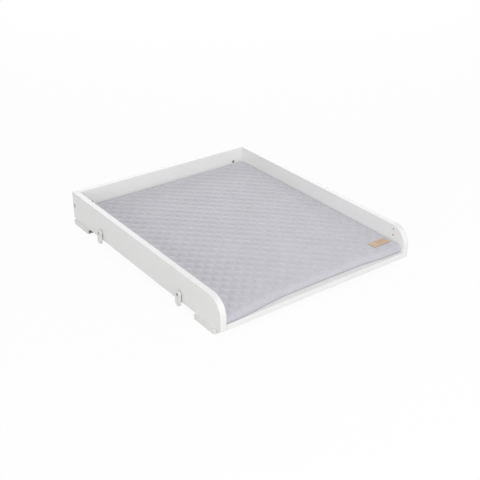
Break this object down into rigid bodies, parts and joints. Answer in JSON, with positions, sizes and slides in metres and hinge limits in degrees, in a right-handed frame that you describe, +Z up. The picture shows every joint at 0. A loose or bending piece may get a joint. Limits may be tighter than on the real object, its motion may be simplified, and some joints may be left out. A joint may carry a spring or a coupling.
{
  "type": "changing top",
  "caption": "Low three-walled white tray with a loose quilted pad, for changing a baby on top of a cot; hollow rest blocks and swivel latches under its side walls.",
  "frame": {"origin": "middle of the footprint, on the surface that the rest blocks stand on", "axes": "+Z up, +Y towards the back wall, +X to the right seen from the open front"},
  "size_m": [0.668, 0.785, 0.1025],
  "materials": {
    "white_board": "satin white lacquer on board",
    "white_plastic": "fine moulded texture",
    "zinc_steel": "zinc plated",
    "beech": "raw, fluted",
    "quilted_fabric": "quilted woven cotton",
    "filling": "polyester wadding",
    "tag_leather": "smooth tan leather"
  },
  "bodies": {
    "tray": {"base_panel": "white_board", "left_side_panel": "white_board", "right_side_panel": "white_board", "back_panel": "white_board", "rest_block_front_left": "white_plastic", "rest_block_back_left": "white_plastic", "rest_block_front_right": "white_plastic", "rest_block_back_right": "white_plastic", "latch_screw_front_left": "zinc_steel", "latch_screw_back_left": "zinc_steel", "latch_screw_front_right": "zinc_steel", "latch_screw_back_right": "zinc_steel", "latch_spacer_front_left": "white_plastic", "latch_spacer_back_left": "white_plastic", "latch_spacer_front_right": "white_plastic", "latch_spacer_back_right": "white_plastic", "corner_bolt_left": "zinc_steel", "corner_bolt_right": "zinc_steel", "barrel_nut_left": "zinc_steel", "barrel_nut_right": "zinc_steel", "corner_dowels": "beech", "base_dowels": "beech", "cam_bolts": "zinc_steel", "cam_locks": "zinc_steel", "block_screws": "zinc_steel"},
    "latch_front_left": {"latch_front_left": "white_plastic"},
    "latch_back_left": {"latch_back_left": "white_plastic"},
    "latch_front_right": {"latch_front_right": "white_plastic"},
    "latch_back_right": {"latch_back_right": "white_plastic"},
    "pad": {"pad_top_cover": "quilted_fabric", "pad_filling": "filling", "pad_bottom_cover": "quilted_fabric", "pad_tag": "tag_leather"}
  },
  "joints": [
    {"name": "latch_front_left_turn", "type": "hinge", "parent": "tray", "child": "latch_front_left", "pos_m": [-0.331, -0.208, 0.0365], "axis": [1, 0, 0], "continuous": true},
    {"name": "latch_back_left_turn", "type": "hinge", "parent": "tray", "child": "latch_back_left", "pos_m": [-0.331, 0.217, 0.0365], "axis": [1, 0, 0], "continuous": true},
    {"name": "latch_front_right_turn", "type": "hinge", "parent": "tray", "child": "latch_front_right", "pos_m": [0.331, -0.208, 0.0365], "axis": [1, 0, 0], "continuous": true},
    {"name": "latch_back_right_turn", "type": "hinge", "parent": "tray", "child": "latch_back_right", "pos_m": [0.331, 0.217, 0.0365], "axis": [1, 0, 0], "continuous": true},
    {"name": "pad_lift", "type": "slide", "parent": "tray", "child": "pad", "axis": [0, 0, 1], "range_m": [0, 0.15]}
  ]
}
